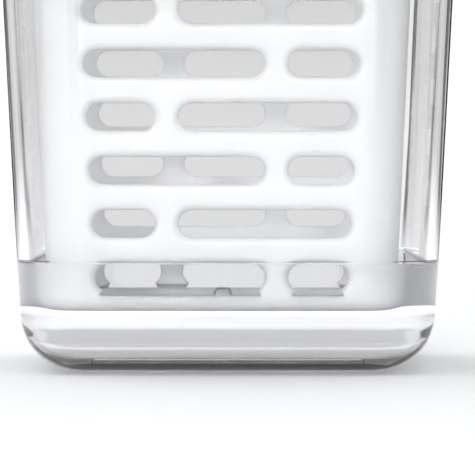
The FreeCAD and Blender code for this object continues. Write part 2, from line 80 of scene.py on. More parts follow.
BASKET_BOTTOM = basket_low.z
BASKET_TOP = basket_high.z
BASKET_SHIFT = -1.2
BASKET_DRAFT = 2.7
BASKET_SLOPE = math.tan(math.radians(BASKET_DRAFT))
BASKET_BASE_WIDTH = 71.7
BASKET_BASE_HALF = BASKET_BASE_WIDTH / 2
BASKET_CORNER = 7.0
BASKET_FLAT = BASKET_BASE_HALF - BASKET_CORNER
BASKET_WALL = 1.8
BASKET_FLOOR = 2.0
BASKET_EDGE = 3.5
BASKET_RIM = 2.0
BASKET_RIM_OUTER_EDGE = 0.9
BASKET_RIM_INNER_EDGE = 0.6
BASKET_RIM_HALF = BASKET_SHIFT - basket_low.x
BASKET_RIM_FLAT = BASKET_RIM_HALF - (CONTAINER_CORNER + BEAD_DEPTH + RIM_LEVEL * CONTAINER_SLOPE)
HALF_GAP = 0.2
SEAM = HALF_GAP / 2
WALL_LOW = BASKET_BOTTOM + BASKET_EDGE * (1 - math.sin(math.atan(BASKET_SLOPE)))
WALL_HIGH = RIM_LEVEL

SLOT_HEIGHT = 5.7
SLOT_RADIUS = SLOT_HEIGHT / 2
SLOT_PITCH = 11.13
SLOT_FIRST = 20.35
SLOT_CORNER_MARGIN = 10.7
SLOT_FIELD = BASKET_BASE_HALF - SLOT_CORNER_MARGIN
SLOT_FIELD_DRAFT = 3.1
SLOT_FIELD_SLOPE = math.tan(math.radians(SLOT_FIELD_DRAFT))
SLOT_BRIDGE = 4.8
SLOT_OFFSET = 11.4
SLOT_RIM_MARGIN = 12.0
SIDE_SLOT_FIRST = 25.9
SIDE_CORNER_MARGIN = 11.0
SIDE_SEAM_MARGIN = 3.5
SIDE_REACH = 8.0
SIDE_BRIDGE = 4.8
LIP_REACH = 1.6
LIP_DEPTH = 1.3
INNER_LIP = 0.35
DRAIN_RADIUS = 2.0
DRAIN_LENGTH = 18.0
DRAIN_PITCH = 14.0
DRAIN_INSET = 8.0

FLANGE_DEPTH = 2.8
FLANGE_THICKNESS = 1.4
FLANGE_MARGIN = 3.0
KNUCKLE_RADIUS = 1.8
KNUCKLE_HEIGHT = 5.0
KNUCKLE_GAP = 0.3
KNUCKLE_EDGE_SHARE = 0.18
PIN_RADIUS = 0.9
PIN_REACH = 0.2
HINGE_LEVELS = [SIDE_SLOT_FIRST + row * SLOT_PITCH for row in (6, 10, 14)]
CATCH_LEVELS = [SIDE_SLOT_FIRST + row * SLOT_PITCH for row in (6, 14)]
CATCH_HEIGHT = 10.0
CATCH_THICKNESS = 1.2
CATCH_CLEARANCE = 0.3
CATCH_LIP = 0.9
TONGUE_WIDTH = 4.7
TONGUE_TOP_WIDTH = 3.0
TONGUE_HEIGHT = 2.4
TONGUE_REACH = 5.0
TONGUE_CLEARANCE = 0.2
TONGUE_ROOT = 0.5

LID_WALL = 2.2
LID_EDGE = 4.0
GRIP_LENGTH = 62.0
GRIP_WIDTH = 16.0
GRIP_HEIGHT = 5.0
GRIP_EDGE = 2.2

# corner radii, in plan, of the flat middle of the underside, the basket's floor, the lid and the water
UNDERSIDE_CORNER = 0.5
FLOOR_CORNER = 1.2
LID_CORNER = 2.0
WATER_CORNER = 1.0

# the smallest rounded edges
GATE_EDGE = 0.1
FOOT_EDGE = 0.2
LINE_EDGE = 0.3
BEAD_EDGE = 0.3
RIM_EDGE = 0.8
SKIRT_EDGE = 0.4
CEILING_EDGE = 1.5
BLOCK_EDGE = 0.35
WEB_EDGE = 0.2
CATCH_EDGE = 0.25
TONGUE_EDGE = 0.4

# how finely round shapes are divided
CORNER_STEPS = 24
ARC_STEPS = 10
SLOT_STEPS = 12
LIP_STEPS = 6
INNER_STEPS = 3
KNUCKLE_STEPS = 24
BLOCK_STEPS = 3
GRIP_STEPS = 6

# ------------------------------------- the studio's numbers, lengths in metres

# what clear and glossy things see: degrees from the middle of each of four sides, and the level there
STUDIO_BANDS = [
    (0, 0.72), (7, 0.72), (9.5, 1.0), (13.5, 1.0),
    (15, 0.0), (27, 0.0), (30, 0.64), (45, 0.8),
]
SIDE_ANGLE = 90
SKY_COLOUR = (0.97, 0.98, 1.0)
SKY_DARKEST = 0.35
SKY_BRIGHTEST = 1.3
SKY_SIDE = (-0.6, 0.8, 0.0)
CEILING = 1.3
CEILING_START = 0.6
FLOOR_HALF = 60.0
FLOOR_GAP = 0.05 * MM
FLOOR_SEEN = 1.0
FLOOR_OTHERWISE = 0.95
FLOOR_LIFT = 0.2
FLOOR_FADE_START = 0.35
FLOOR_FADE_END = 0.85
LAMP_AZIMUTH = 9.4
LAMP_ELEVATION = 11.5
LAMP_STRENGTH = 0.95
LAMP_SPREAD = 5.0
CAMERA_PLACE = (0.0079, -1.002, 0.06345)
CAMERA_DOWN = 2.012
CAMERA_LEFT = 0.345
CAMERA_LENS = 351.7
CAMERA_SENSOR = 36.0
CAMERA_REACH = 100.0


# ------------------------------------------------------- surfaces with normals


class Surface:
    """Points with their normals, and the faces between them."""

    def __init__(self):
        self.points = []
        self.normals = []
        self.faces = []

    def add(self, point, normal):
        self.points.append(Vector(point))
        self.normals.append(Vector(normal).normalized())
        return len(self.points) - 1

    def face(self, *corners):
        """A face that looks the way its points' normals do."""
        a, b, c = (self.points[corner] for corner in corners[:3])
        across = (b - a).cross(c - a)
        if len(corners) == 4:
            across = (c - a).cross(self.points[corners[3]] - b)
        facing = sum((self.normals[corner] for corner in corners), Vector())
        if across.length > 0:
            self.faces.append(corners if across.dot(facing) > 0 else corners[::-1])

    def strip(self, first, second, closed):
        """Faces between two rows of as many points."""
        count = len(first)
        for i in range(count if closed else count - 1):
            j = (i + 1) % count
            self.face(first[i], first[j], second[j], second[i])

    def fan(self, row, centre, normal):
        """Faces that close a row round its centre."""
        middle = self.add(centre, normal)
        for i, corner in enumerate(row):
            self.face(middle, corner, row[(i + 1) % len(row)])

    def make(self, name, turned=False, shift=0.0):
        """A mesh object in metres, turned half way round and shifted along X where asked."""
        side = -1 if turned else 1
        used = sorted({corner for face in self.faces for corner in face})
        number = {corner: index for index, corner in enumerate(used)}
        faces = [[number[corner] for corner in face] for face in self.faces]
        points = [self.points[corner] for corner in used]
        points = [((side * p.x + shift) * MM, side * p.y * MM, p.z * MM) for p in points]
        normals = [self.normals[corner] for corner in used]
        normals = [(side * n.x, side * n.y, n.z) for n in normals]
        mesh = bpy.data.meshes.new(name)
        mesh.from_pydata(points, [], faces)
        mesh.shade_smooth()
        mesh.normals_split_custom_set_from_vertices(normals)
        mesh.update()
        thing = bpy.data.objects.new(name, mesh)
        bpy.context.scene.collection.objects.link(thing)
        return thing


def rounded_path(corners):
    """Points of a path with arcs at its corners, as (half width, level, flat, outward, upward).

    A corner is (half width, level, radius of its arc, half length of the section's flat side), and the solid
    lies on the path's left.
    """
    path = []
    for index, (half, level, radius, flat) in enumerate(corners):
        here = Vector((half, level))
        runs = []
        if index > 0:
            runs.append((here - Vector(corners[index - 1][:2])).normalized())
        if index < len(corners) - 1:
            runs.append((Vector(corners[index + 1][:2]) - here).normalized())
        facing = [Vector((run.y, -run.x)) for run in runs]
        if len(runs) == 1:
            path.append((half, level, flat, facing[0].x, facing[0].y))
            continue
        turn = math.atan2(runs[0].x * runs[1].y - runs[0].y * runs[1].x, runs[0].dot(runs[1]))
        if radius == 0:
            path += [(half, level, flat, side.x, side.y) for side in facing]
            continue
        bulge = math.copysign(radius, turn)
        start = here - runs[0] * radius * math.tan(abs(turn) / 2)
        centre = start - facing[0] * bulge
        base = math.atan2(facing[0].y, facing[0].x)
        for step in range(ARC_STEPS + 1):
            angle = base + turn * step / ARC_STEPS
            side = Vector((math.cos(angle), math.sin(angle)))
            place = centre + side * bulge
            path.append((place.x, place.y, flat, side.x, side.y))
    return path


def ring_directions():
    """Directions round a whole rounded square, each with the signs of its corner."""
    directions = []
    for quarter, signs in enumerate([(1, 1), (-1, 1), (-1, -1), (1, -1)]):
        for step in range(CORNER_STEPS + 1):
            angle = (quarter + step / CORNER_STEPS) * QUARTER
            directions.append((math.cos(angle), math.sin(angle), *signs))
    return directions


def ring_row(surface, station):
    """One closed row of a swept surface."""
    half, level, flat, outward, upward = station
    radius = half - flat
    row = []
    for dx, dy, sx, sy in ring_directions():
        point = (sx * flat + dx * radius, sy * flat + dy * radius, level)
        row.append(surface.add(point, (dx * outward, dy * outward, upward)))
    return row


def swept_ring(path):
    """A surface swept round a rounded square along a path, and closed at its two ends."""
    surface = Surface()
    rows = [ring_row(surface, station) for station in path]
    for first, second in zip(rows, rows[1:]):
        surface.strip(first, second, closed=True)
    for row, station in ((rows[0], path[0]), (rows[-1], path[-1])):
        _, level, _, _, upward = station
        surface.fan(row, (0, 0, level), (0, 0, upward))
    return surface


# ------------------------------------------------------------------ materials


MOTTLE_SCALE = 90.0
GLOSS_SCALE = 160.0
GRAIN_SCALE = 2600.0
WAVE_SCALE = 34.0
PLASTIC_IOR = 1.49
CLEAR_IOR = 1.57
WATER_IOR = 1.333
CLEAR_ROUGHNESS = 0.015
SCATTER_DEPTH = 7.0 * MM


def new_material(name):
    material = bpy.data.materials.new(name)
    material.use_nodes = True
    nodes = material.node_tree.nodes
    return material, nodes, material.node_tree.links, nodes["Principled BSDF"]


def noise(nodes, links, scale, detail=4.0):
    """Noise in the object's own coordinates."""
    coordinates = nodes.new("ShaderNodeTexCoord")
    texture = nodes.new("ShaderNodeTexNoise")
    texture.inputs["Scale"].default_value = scale
    texture.inputs["Detail"].default_value = detail
    links.new(coordinates.outputs["Object"], texture.inputs["Vector"])
    return texture.outputs["Fac"]


def ramp(nodes, links, factor, low, high, dark, light):
    """A colour or grey that runs from dark to light as a factor goes from low to high."""
    blend = nodes.new("ShaderNodeValToRGB")
    blend.color_ramp.elements[0].position = low
    blend.color_ramp.elements[1].position = high
    blend.color_ramp.elements[0].color = (*dark, 1)
    blend.color_ramp.elements[1].color = (*light, 1)
    links.new(factor, blend.inputs["Fac"])
    return blend.outputs["Color"]


def grey(level):
    return (level, level, level)


def bump(nodes, links, height, distance):
    raised = nodes.new("ShaderNodeBump")
    raised.inputs["Distance"].default_value = distance
    raised.inputs["Strength"].default_value = 1.0
    links.new(height, raised.inputs["Height"])
    return raised.outputs["Normal"]


def moulded_plastic(name, dark, light, roughness, grain, subsurface=0.0):
    """Moulded plastic with faint mottling, uneven gloss, a fine grain and, where asked, light inside it."""
    material, nodes, links, shader = new_material(name)
    mottle = noise(nodes, links, MOTTLE_SCALE)
    links.new(ramp(nodes, links, mottle, 0.35, 0.65, dark, light), shader.inputs["Base Color"])
    patch = noise(nodes, links, GLOSS_SCALE, 6.0)
    low, high = roughness
    links.new(ramp(nodes, links, patch, 0.3, 0.7, grey(low), grey(high)), shader.inputs["Roughness"])
    fine = noise(nodes, links, GRAIN_SCALE, 3.0)
    links.new(bump(nodes, links, fine, grain), shader.inputs["Normal"])
    shader.inputs["IOR"].default_value = PLASTIC_IOR
    if subsurface:
        shader.inputs["Subsurface Weight"].default_value = subsurface
        shader.inputs["Subsurface Radius"].default_value = (1.0, 1.0, 1.0)
        shader.inputs["Subsurface Scale"].default_value = SCATTER_DEPTH
    return material


def clear_material(name, ior, tint, absorb, density, wave):
    """A clear solid: refraction, a tint that grows with depth, and the slow waves of its surface.

    Shadow rays pass straight through, so that lamps light what is inside.
    """
    material, nodes, links, shader = new_material(name)
    shader.inputs["Base Color"].default_value = (*tint, 1)
    shader.inputs["Roughness"].default_value = CLEAR_ROUGHNESS
    shader.inputs["IOR"].default_value = ior
    shader.inputs["Transmission Weight"].default_value = 1.0
    slow = noise(nodes, links, WAVE_SCALE, 2.0)
    links.new(bump(nodes, links, slow, wave), shader.inputs["Normal"])
    path = nodes.new("ShaderNodeLightPath")
    through = nodes.new("ShaderNodeBsdfTransparent")
    through.inputs["Color"].default_value = (*tint, 1)
    mix = nodes.new("ShaderNodeMixShader")
    output = nodes["Material Output"]
    links.new(path.outputs["Is Shadow Ray"], mix.inputs["Fac"])
    links.new(shader.outputs["BSDF"], mix.inputs[1])
    links.new(through.outputs["BSDF"], mix.inputs[2])
    links.new(mix.outputs["Shader"], output.inputs["Surface"])
    if density:
        volume = nodes.new("ShaderNodeVolumeAbsorption")
        volume.inputs["Color"].default_value = (*absorb, 1)
        volume.inputs["Density"].default_value = density
        links.new(volume.outputs["Volume"], output.inputs["Volume"])
    return material


clear_plastic = clear_material(
    "clear_plastic", CLEAR_IOR,
    tint=(0.985, 0.987, 0.99), absorb=(0.50, 0.49, 0.52), density=16.0, wave=0.00001,
)
water_material = clear_material(
    "water", WATER_IOR,
    tint=(0.99, 0.992, 0.995), absorb=(0.5, 0.5, 0.5), density=0.0, wave=0.0,
)
white = {
    "dark": (0.935, 0.937, 0.94), "light": (0.955, 0.957, 0.96),
    "roughness": (0.32, 0.42), "grain": 0.000006,
}
white_plastic = moulded_plastic("white_plastic", **white, subsurface=1.0)
white_detail = moulded_plastic("white_detail", **white)
lid_plastic = moulded_plastic(
    "lid_plastic",
    dark=(0.83, 0.835, 0.84), light=(0.865, 0.87, 0.875),
    roughness=(0.36, 0.46), grain=0.000008, subsurface=0.1,
)
seal_silicone = moulded_plastic(
    "seal_silicone",
    dark=(0.60, 0.61, 0.62), light=(0.66, 0.67, 0.68),
    roughness=(0.55, 0.7), grain=0.00001, subsurface=0.3,
)


def dress(piece, body, material, slot, *nodes):
    """A piece's material, its body, and the CAD nodes that it shows instead of. slot is not used."""
    piece.data.materials.clear()
    piece.data.materials.append(material)
    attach(piece, body)
    if nodes:
        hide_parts(*nodes)


# ------------------------------------------------------------------ container


def container_half(level):
    """Half the container's outer width at a level."""
    return CONTAINER_BASE_HALF + level * CONTAINER_SLOPE


def make_container():
    """The clear container, one closed skin from the middle of its underside to the middle of its floor."""
    flat = CONTAINER_FLAT
    wall = CONTAINER_WALL
    recess_half = CONTAINER_BASE_HALF - CONTAINER_EDGE - FOOT_RING
    recess_flat = recess_half - FOOT_RING
    bead_low = RIM_LEVEL - BEAD_HEIGHT
    inner_fillet = CONTAINER_EDGE - wall
    gate_low = FOOT_RECESS - GATE_HEIGHT
    line_high = FILL_LEVEL + FILL_HEIGHT
    line_mid = FILL_LEVEL + FILL_HEIGHT / 2

    def inside(level, proud=0.0):
        return container_half(level) - wall - proud

    corners = [
        (GATE_RADIUS / 2, gate_low, 0, 0),
        (GATE_RADIUS, gate_low, GATE_EDGE, 0),
        (GATE_RADIUS, FOOT_RECESS, GATE_EDGE, 0),
        (recess_flat + UNDERSIDE_CORNER, FOOT_RECESS, 0, recess_flat),
        (recess_half, FOOT_RECESS, FOOT_EDGE, recess_flat),
        (recess_half, 0, FOOT_EDGE, recess_flat),
        (CONTAINER_BASE_HALF, 0, CONTAINER_EDGE, flat),
        (container_half(bead_low), bead_low, BEAD_EDGE, flat),
        (RIM_HALF, bead_low, BEAD_EDGE, flat),
        (RIM_HALF, RIM_LEVEL, RIM_EDGE, flat),
        (inside(RIM_LEVEL), RIM_LEVEL, RIM_EDGE, flat),
        (inside(line_high), line_high, LINE_EDGE, flat),
        (inside(line_mid, FILL_DEPTH), line_mid, LINE_EDGE, flat),
        (inside(FILL_LEVEL), FILL_LEVEL, LINE_EDGE, flat),
        (inside(CONTAINER_FLOOR), CONTAINER_FLOOR, inner_fillet, flat),
        (flat, CONTAINER_FLOOR, 0, flat),
    ]
    piece = swept_ring(rounded_path(corners)).make("container_shell")
    dress(piece, "container", clear_plastic, "clear_plastic", "container")


# --------------------------------------------------------------------- basket

# what a triangle of a chart belongs to where it is neither the wall's (None) nor a slot's
OUTSIDE = "outside"
# a triangle's middle is in a slot's lip where it is closer than this share of the lip's reach
LIP_SHARE = 0.98
CHART_PRECISION = 0.0001
# how far a slot's notch in the seam's face reaches past the wall's two faces
NOTCH_MARGIN = 1.0


def basket_radius(level):
    """The basket's outer corner radius in plan at a level."""
    return BASKET_CORNER + level * BASKET_SLOPE


def wall_point(u, level, depth):
    """A point of the half basket's wall at a distance u round it, and the wall's direction there.

    u is 0 in the middle of the main wall, and depth is below the outer face.
    """
    radius = basket_radius(level)
    arc = radius * QUARTER
    side = math.copysign(1, u)
    past = abs(u) - BASKET_FLAT
    if past <= 0:
        base = Vector((u, -BASKET_FLAT, level))
        out = Vector((0, -1, 0))
    elif past <= arc:
        angle = past / radius
        base = Vector((side * BASKET_FLAT, -BASKET_FLAT, level))
        out = Vector((side * math.sin(angle), -math.cos(angle), 0))
    else:
        base = Vector((side * BASKET_FLAT, past - arc - BASKET_FLAT, level))
        out = Vector((side, 0, 0))
    facing = Vector((out.x, out.y, -BASKET_SLOPE)).normalized()
    return base + out * (radius - depth), facing


def floor_point(x, y, depth):
    """A point of the basket's floor, depth above its underside."""
    return Vector((x, y, BASKET_BOTTOM + depth)), Vector((0, 0, -1))


class Slot:
    """A slot with round ends from one end centre to the other, in the flat coordinates of its wall."""

    def __init__(self, start, end, radius, side=0):
        self.start = Vector(start)
        self.end = Vector(end)
        self.radius = radius
        self.side = side

    def nearest(self, place):
        """The nearest point of the slot's middle line, and the direction from it."""
        run = self.end - self.start
        share = (place - self.start).dot(run) / run.length_squared
        middle = self.start + run * min(max(share, 0), 1)
        return middle, place - middle

    def outline(self, grown):
        """Points round the slot, grown by a distance."""
        along = (self.end - self.start).normalized()
        across = Vector((-along.y, along.x))
        points = []
        for centre, turn in ((self.end, -QUARTER), (self.start, QUARTER)):
            for step in range(SLOT_STEPS + 1):
                angle = turn + math.pi * step / SLOT_STEPS
                spoke = along * math.cos(angle) + across * math.sin(angle)
                points.append(centre + spoke * (self.radius + grown))
        return points


def to_wall(slot, place):
    """From a slot's flat coordinates to (u, level). A side slot's first coordinate is y."""
    if slot.side == 0:
        return place
    arc = basket_radius(place.y) * QUARTER
    return Vector((slot.side * (BASKET_FLAT + arc + place.x + BASKET_FLAT), place.y))


def from_wall(slot, place):
    """From (u, level) back to a slot's flat coordinates."""
    if slot.side == 0:
        return place
    arc = basket_radius(place.y) * QUARTER
    return Vector((slot.side * place.x - arc - 2 * BASKET_FLAT, place.y))


def same_place(slot, place):
    """For a floor, where a slot's coordinates are the chart's."""
    return place


def within(outline, place):
    """Whether a place lies inside a closed outline."""
    inside = False
    for a, b in zip(outline, outline[1:] + outline[:1]):
        spans = (a.y > place.y) != (b.y > place.y)
        if spans and place.x < a.x + (b.x - a.x) * (place.y - a.y) / (b.y - a.y):
            inside = not inside
    return inside


def loop_edges(first, count):
    """The edges of a closed loop of points numbered from the first."""
    return [(first + i, first + (i + 1) % count) for i in range(count)]


def middle_of(places, triangle):
    return sum((places[i] for i in triangle), Vector((0, 0))) / 3


def slotted_wall(surface, outline, lines, slots, chart, thickness, into, back):
    """A wall with slots through it whose edges are rounded: outer face, inner face and the slots' sides.

    outline and lines are in the chart's plane, into and back change a slot's coordinates to the chart's and
    back. chart gives a point and the outer face's direction for a place and a depth.
    """
    places = list(outline)
    edges = loop_edges(0, len(outline))
    for line in lines:
        edges.append((len(places), len(places) + 1))
        places += line
    for slot in slots:
        points = [into(slot, point) for point in slot.outline(LIP_REACH)]
        edges += loop_edges(len(places), len(points))
        places += points
    places, _, triangles, *_ = delaunay_2d_cdt(places, edges, [], 0, CHART_PRECISION)
    owners = []
    for triangle in triangles:
        middle = middle_of(places, triangle)
        owners.append(owner_of(middle, slots, back) if within(outline, middle) else OUTSIDE)
    outer = [surface.add(*chart(*place, 0)) for place in places]
    inner = []
    for place in places:
        point, facing = chart(*place, thickness)
        inner.append(surface.add(point, -facing))
    sides = {}
    for triangle, owner in zip(triangles, owners):
        if owner is None:
            surface.face(*(outer[i] for i in triangle))
        for a, b in zip(triangle, triangle[1:] + triangle[:1]):
            sides.setdefault((min(a, b), max(a, b)), []).append(owner)
    moved = {}
    for (a, b), pair in sides.items():
        owner = next((other for other in pair if isinstance(other, Slot)), None)
        if owner is None or None not in pair:
            continue
        columns = []
        for corner in (a, b):
            if corner not in moved:
                moved[corner] = slot_column(surface, places[corner], owner, chart, thickness, into, back)
            columns.append([outer[corner], *moved[corner]])
        for i in range(len(columns[0]) - 1):
            surface.face(columns[0][i], columns[1][i], columns[1][i + 1], columns[0][i + 1])
    for triangle, owner in zip(triangles, owners):
        if owner is None:
            surface.face(*(moved[i][-1] if i in moved else inner[i] for i in triangle))


def owner_of(middle, slots, back):
    """The slot that a place lies in, if any."""
    for slot in slots:
        low, high = sorted((slot.start.y, slot.end.y))
        if not low - SLOT_PITCH <= middle.y <= high + SLOT_PITCH:
            continue
        _, spoke = slot.nearest(back(slot, middle))
        if spoke.length < slot.radius + LIP_REACH * LIP_SHARE:
            return slot
    return None


def slot_column(surface, place, slot, chart, thickness, into, back):
    """The points down a slot's side below one point of its rim: the lip, the side and the inner lip."""
    middle, spoke = slot.nearest(back(slot, place))
    spoke.normalize()

    def at(distance, depth):
        return chart(*into(slot, middle + spoke * (slot.radius + distance)), depth)

    near, facing = at(0, 0)
    far, _ = at(LIP_REACH, 0)
    inward = (near - far).normalized()
    column = []
    for distance, depth, out, across in slot_profile(thickness)[1:]:
        column.append(surface.add(at(distance, depth)[0], facing * out + inward * across))
    return column


def slot_profile(thickness):
    """The section of a slot's edge, as distances from its side, depths, and the normal's two parts."""
    profile = []
    for step in range(LIP_STEPS + 1):
        angle = QUARTER * step / LIP_STEPS
        place = LIP_REACH * (1 - math.sin(angle)), LIP_DEPTH * (1 - math.cos(angle))
        profile.append((*place, LIP_REACH * math.cos(angle), LIP_DEPTH * math.sin(angle)))
    for step in range(INNER_STEPS + 1):
        angle = QUARTER * step / INNER_STEPS
        place = INNER_LIP * (1 - math.cos(angle)), thickness - INNER_LIP * (1 - math.sin(angle))
        profile.append((*place, -math.sin(angle), math.cos(angle)))
    return profile


def half_ring_places(level):
    """Distances round the half basket's wall at a level, from seam to seam."""
    radius = basket_radius(level)
    corner = [BASKET_FLAT + radius * QUARTER * step / CORNER_STEPS for step in range(CORNER_STEPS + 1)]
    right = corner + [2 * BASKET_FLAT + radius * QUARTER - SEAM]
    return [-u for u in reversed(right)] + right


def half_row(surface, station):
    """An open row of a swept surface round the half basket, from seam to seam."""
    half, level, flat, outward, upward = station
    radius = half - flat
    row = []
    directions = [(-1.0, 0.0, -1, -SEAM)]
    for step in range(CORNER_STEPS + 1):
        angle = QUARTER * step / CORNER_STEPS
        directions.append((-math.cos(angle), -math.sin(angle), -1, -flat))
    for step in range(CORNER_STEPS + 1):
        angle = QUARTER * step / CORNER_STEPS
        directions.append((math.sin(angle), -math.cos(angle), 1, -flat))
    directions.append((1.0, 0.0, 1, -SEAM))
    for dx, dy, side, y in directions:
        point = (side * flat + dx * radius, y + dy * radius, level)
        row.append(surface.add(point, (dx * outward, dy * outward, upward)))
    return row


def sweep_half(surface, path):
    """A surface swept round the half basket along a path, and its rows."""
    rows = [half_row(surface, station) for station in path]
    for first, second in zip(rows, rows[1:]):
        surface.strip(first, second, closed=False)
    return rows


def slot_rows(first):
    """The level of each row of slots from the first one up."""
    highest = RIM_LEVEL - SLOT_RIM_MARGIN - SLOT_RADIUS
    return [first + row * SLOT_PITCH for row in range(int((highest - first) / SLOT_PITCH) + 1)]


def main_slots():
    """Two slots to a row in the main wall. The bridge between them changes sides from row to row."""
    slots = []
    for row, level in enumerate(slot_rows(SLOT_FIRST)):
        end = SLOT_FIELD + level * SLOT_FIELD_SLOPE - SLOT_RADIUS
        bridge = SLOT_OFFSET if row % 2 == 0 else -SLOT_OFFSET
        gap = SLOT_BRIDGE / 2 + SLOT_RADIUS
        slots.append(Slot((-end, level), (bridge - gap, level), SLOT_RADIUS))
        slots.append(Slot((bridge + gap, level), (end, level), SLOT_RADIUS))
    return slots


def side_slots(facing):
    """The slots of the side walls, between the corners and the seam, and those that cross it by turns.

    facing is 1 for the front half and -1 for the rear one, which is made the other way round.
    """
    slots = []
    for row, level in enumerate(slot_rows(SIDE_SLOT_FIRST)):
        corner = BASKET_FLAT + basket_radius(level) - SIDE_CORNER_MARGIN
        rear_start = -SIDE_REACH if row % 2 else SIDE_SEAM_MARGIN
        for start, end in ((-corner, -SIDE_REACH - SIDE_BRIDGE), (rear_start, corner)):
            near, far = sorted((facing * start, facing * end))
            if near >= 0:
                continue
            far = min(far, SIDE_REACH)
            for side in (-1, 1):
                slots.append(Slot((near + SLOT_RADIUS, level), (far - SLOT_RADIUS, level), SLOT_RADIUS, side))
    return slots


def add_seam_section(surface, section, slots):
    """The flat face of the half basket at the seam, open where slots cross it."""
    places = list(section)
    edges = loop_edges(0, len(section))
    notches = []
    for slot in slots:
        if slot.end.x < 0:
            continue
        profile = [(distance, depth) for distance, depth, _, _ in slot_profile(BASKET_WALL)]
        profile = [(LIP_REACH, -NOTCH_MARGIN), *profile, (INNER_LIP, BASKET_WALL + NOTCH_MARGIN)]
        notch = []
        for sign, stations in ((1, profile), (-1, profile[::-1])):
            for distance, depth in stations:
                level = slot.start.y + sign * (SLOT_RADIUS + distance)
                notch.append(Vector((slot.side * (BASKET_FLAT + basket_radius(level) - depth), level)))
        edges += loop_edges(len(places), len(notch))
        places += notch
        notches.append(notch)
    places, _, triangles, *_ = delaunay_2d_cdt(places, edges, [], 0, CHART_PRECISION)
    corners = [surface.add((place.x, -SEAM, place.y), (0, 1, 0)) for place in places]
    for triangle in triangles:
        middle = middle_of(places, triangle)
        if within(section, middle) and not any(within(notch, middle) for notch in notches):
            surface.face(*(corners[i] for i in triangle))


def add_walls(surface, slots):
    """The half basket's main wall, corners and half side walls, from the bottom rounding to the rim."""
    low = half_ring_places(WALL_LOW)
    high = half_ring_places(WALL_HIGH)
    outline = [Vector((u, WALL_LOW)) for u in low] + [Vector((u, WALL_HIGH)) for u in reversed(high)]
    lines = [[Vector((a, WALL_LOW)), Vector((b, WALL_HIGH))] for a, b in zip(low[1:-1], high[1:-1])]
    slotted_wall(surface, outline, lines, slots, wall_point, BASKET_WALL, to_wall, from_wall)


def add_floor(surface, half, radius):
    """The half floor with its drain slots, inside the rounded edge."""
    flat = half - radius
    outline = [Vector((-half, -SEAM))]
    for side in (-1, 1):
        for step in range(CORNER_STEPS + 1):
            angle = QUARTER * step / CORNER_STEPS
            dx, dy = (math.cos(angle), math.sin(angle)) if side < 0 else (math.sin(angle), math.cos(angle))
            outline.append(Vector((side * (flat + radius * dx), -flat - radius * dy)))
    outline.append(Vector((half, -SEAM)))
    seam_end = -DRAIN_INSET - DRAIN_RADIUS
    far_end = seam_end - DRAIN_LENGTH + 2 * DRAIN_RADIUS
    slots = [Slot((x, far_end), (x, seam_end), DRAIN_RADIUS) for x in (-DRAIN_PITCH, 0.0, DRAIN_PITCH)]
    slotted_wall(surface, outline, [], slots, floor_point, BASKET_FLOOR, same_place, same_place)


def make_basket_half(label, turned):
    """One half of the basket's shell, in front of the seam and turned half way round for the rear one."""
    surface = Surface()
    flat = BASKET_FLAT
    bottom_half = flat + basket_radius(BASKET_BOTTOM)
    top_half = flat + basket_radius(RIM_LEVEL)
    floor_top = BASKET_BOTTOM + BASKET_FLOOR
    floor_half = flat + basket_radius(floor_top) - BASKET_WALL
    floor_edge = flat + FLOOR_CORNER
    wall_low = flat + basket_radius(WALL_LOW)
    inner_edge = BASKET_EDGE - BASKET_WALL
    outer = rounded_path([
        (floor_edge, BASKET_BOTTOM, 0, flat),
        (bottom_half, BASKET_BOTTOM, BASKET_EDGE, flat),
        (wall_low, WALL_LOW, 0, flat),
    ])[:-1]
    rim = rounded_path([
        (top_half - 1, RIM_LEVEL - 1 / BASKET_SLOPE, 0, flat),
        (top_half, RIM_LEVEL, 0, flat),
        (BASKET_RIM_HALF, RIM_LEVEL, BASKET_RIM_OUTER_EDGE, BASKET_RIM_FLAT),
        (BASKET_RIM_HALF, BASKET_TOP, BASKET_RIM_OUTER_EDGE, BASKET_RIM_FLAT),
        (top_half + BASKET_RIM * BASKET_SLOPE - BASKET_WALL, BASKET_TOP, BASKET_RIM_INNER_EDGE, flat),
        (top_half - BASKET_WALL, RIM_LEVEL, 0, flat),
    ])[2:]
    inner = rounded_path([
        (wall_low - BASKET_WALL, WALL_LOW, 0, flat),
        (floor_half, floor_top, inner_edge, flat),
        (floor_edge, floor_top, 0, flat),
    ])
    rows = sweep_half(surface, outer)
    rows += sweep_half(surface, rim)
    rows += sweep_half(surface, inner)
    sides = side_slots(facing=-1 if turned else 1)
    add_walls(surface, main_slots() + sides)
    add_floor(surface, floor_edge, FLOOR_CORNER)
    ends = [row[-1] for row in rows] + [row[0] for row in reversed(rows)]
    section = [Vector((surface.points[end].x, surface.points[end].z)) for end in ends]
    add_seam_section(surface, section, sides)
    piece = surface.make(f"{label}_shell", turned, BASKET_SHIFT)
    dress(piece, "basket", white_plastic, "white_plastic", label)


# ---------------------------------------------- small blocks with rounded edges


BLOCK_FACES = ((0, 1, 2, 3), (7, 6, 5, 4), (0, 4, 5, 1), (1, 5, 6, 2), (2, 6, 7, 3), (3, 7, 4, 0))


def block_mesh(name, blocks, edge=BLOCK_EDGE, turned=False, shift=0.0, steps=BLOCK_STEPS):
    """Six-sided blocks, each given by its eight corners, with rounded edges."""
    bm = bmesh.new()
    side = -1 if turned else 1
    for corners in blocks:
        verts = [bm.verts.new(((side * x + shift) * MM, side * y * MM, z * MM)) for x, y, z in corners]
        for face in BLOCK_FACES:
            bm.faces.new([verts[i] for i in face])
    bmesh.ops.recalc_face_normals(bm, faces=bm.faces)
    mesh = bpy.data.meshes.new(name)
    bm.to_mesh(mesh)
    bm.free()
    mesh.shade_smooth()
    piece = bpy.data.objects.new(name, mesh)
    bpy.context.scene.collection.objects.link(piece)
    rounding = piece.modifiers.new("edges", "BEVEL")
    rounding.width = edge * MM
    rounding.segments = steps
    rounding.harden_normals = True
    return piece


